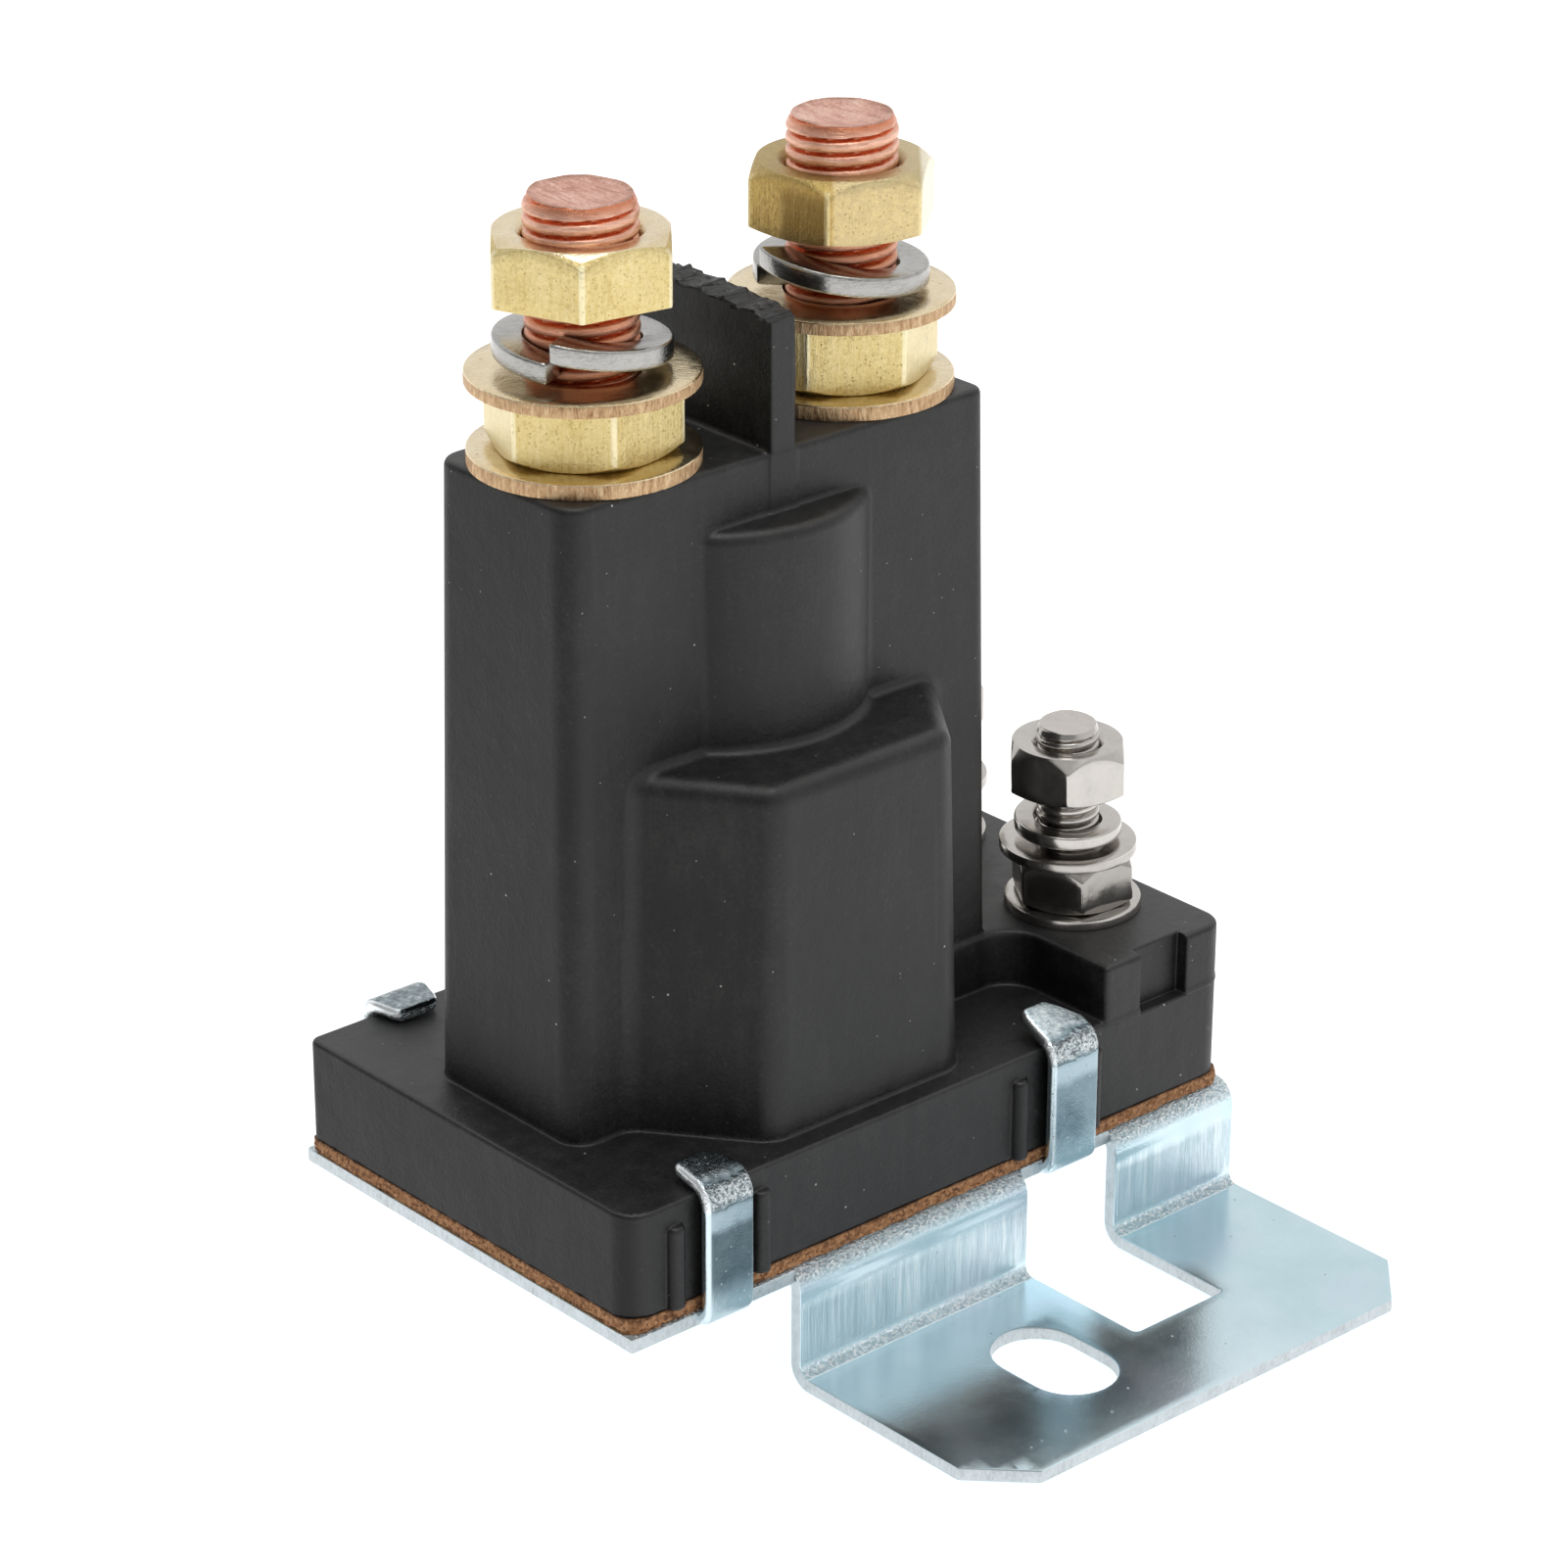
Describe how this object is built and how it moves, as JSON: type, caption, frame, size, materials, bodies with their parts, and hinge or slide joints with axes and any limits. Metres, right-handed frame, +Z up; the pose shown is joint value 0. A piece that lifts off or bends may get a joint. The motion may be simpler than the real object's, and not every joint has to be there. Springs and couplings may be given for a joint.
{
  "type": "starter relay",
  "caption": "Plunger-type starter relay: black moulded case with side platform, copper load studs with brass nuts, small coil studs, cork gasket and folded zinc bracket.",
  "frame": {"origin": "centre of the mounting plane under the two bracket feet", "axes": "+X along the line of the load studs towards the coil studs, -Y towards the foot seen in the picture, +Z up along the studs and the plunger"},
  "size_m": [0.0616, 0.0828, 0.0896],
  "materials": {
    "phenolic": "matte moulded, black",
    "cork": "granular cork sheet",
    "zinc": "bright blue-white zinc plate",
    "brass_nut": "turned brass",
    "brass_washer": "stamped brass, sheared rim",
    "copper_stud": "threaded copper",
    "spring_steel": "bright spring steel",
    "nickel": "nickel plated, glossy",
    "soft_iron": "plated soft iron",
    "sleeve_brass": "drawn tube",
    "nylon": "natural moulded plastic",
    "magnet_wire": "enamelled copper wire",
    "rubber": "matte",
    "fibre": "red-brown insulating fibre"
  },
  "bodies": {
    "housing": {"case": "phenolic", "gasket": "cork", "bracket": "zinc", "load_stud_left": "copper_stud", "load_stud_right": "copper_stud", "load_base_washers": "brass_washer", "load_jam_nuts": "brass_nut", "load_top_washers": "brass_washer", "load_lock_washers": "spring_steel", "load_top_nuts": "brass_nut", "coil_stud_front": "nickel", "coil_stud_rear": "nickel", "coil_base_washers": "nickel", "coil_jam_nuts": "nickel", "coil_top_washers": "nickel", "coil_lock_washers": "nickel", "coil_top_nuts": "nickel", "yoke": "soft_iron", "pole_plate": "soft_iron", "fixed_core": "soft_iron", "guide_sleeve": "sleeve_brass", "bobbin": "nylon", "winding": "magnet_wire", "coil_leads": "magnet_wire", "bump_pad": "rubber", "return_spring": "spring_steel"},
    "armature": {"plunger": "soft_iron", "stem": "spring_steel", "spring_seat": "spring_steel", "stem_clip": "spring_steel", "contact_spring": "spring_steel"},
    "bridge": {"contact_disc": "copper_stud", "lower_bush": "fibre", "upper_bush": "fibre"}
  },
  "joints": [
    {"name": "plunger_slide", "type": "slide", "parent": "housing", "child": "armature", "axis": [0, 0, 1], "range_m": [0, 0.0028], "stiffness_N_per_m": 220, "springref_m": -0.004, "deforming": ["return_spring"]},
    {"name": "contact_overtravel", "type": "slide", "parent": "armature", "child": "bridge", "axis": [0, 0, 1], "range_m": [-0.0008, 0], "stiffness_N_per_m": 900, "springref_m": 0.002, "deforming": ["contact_spring"]}
  ]
}
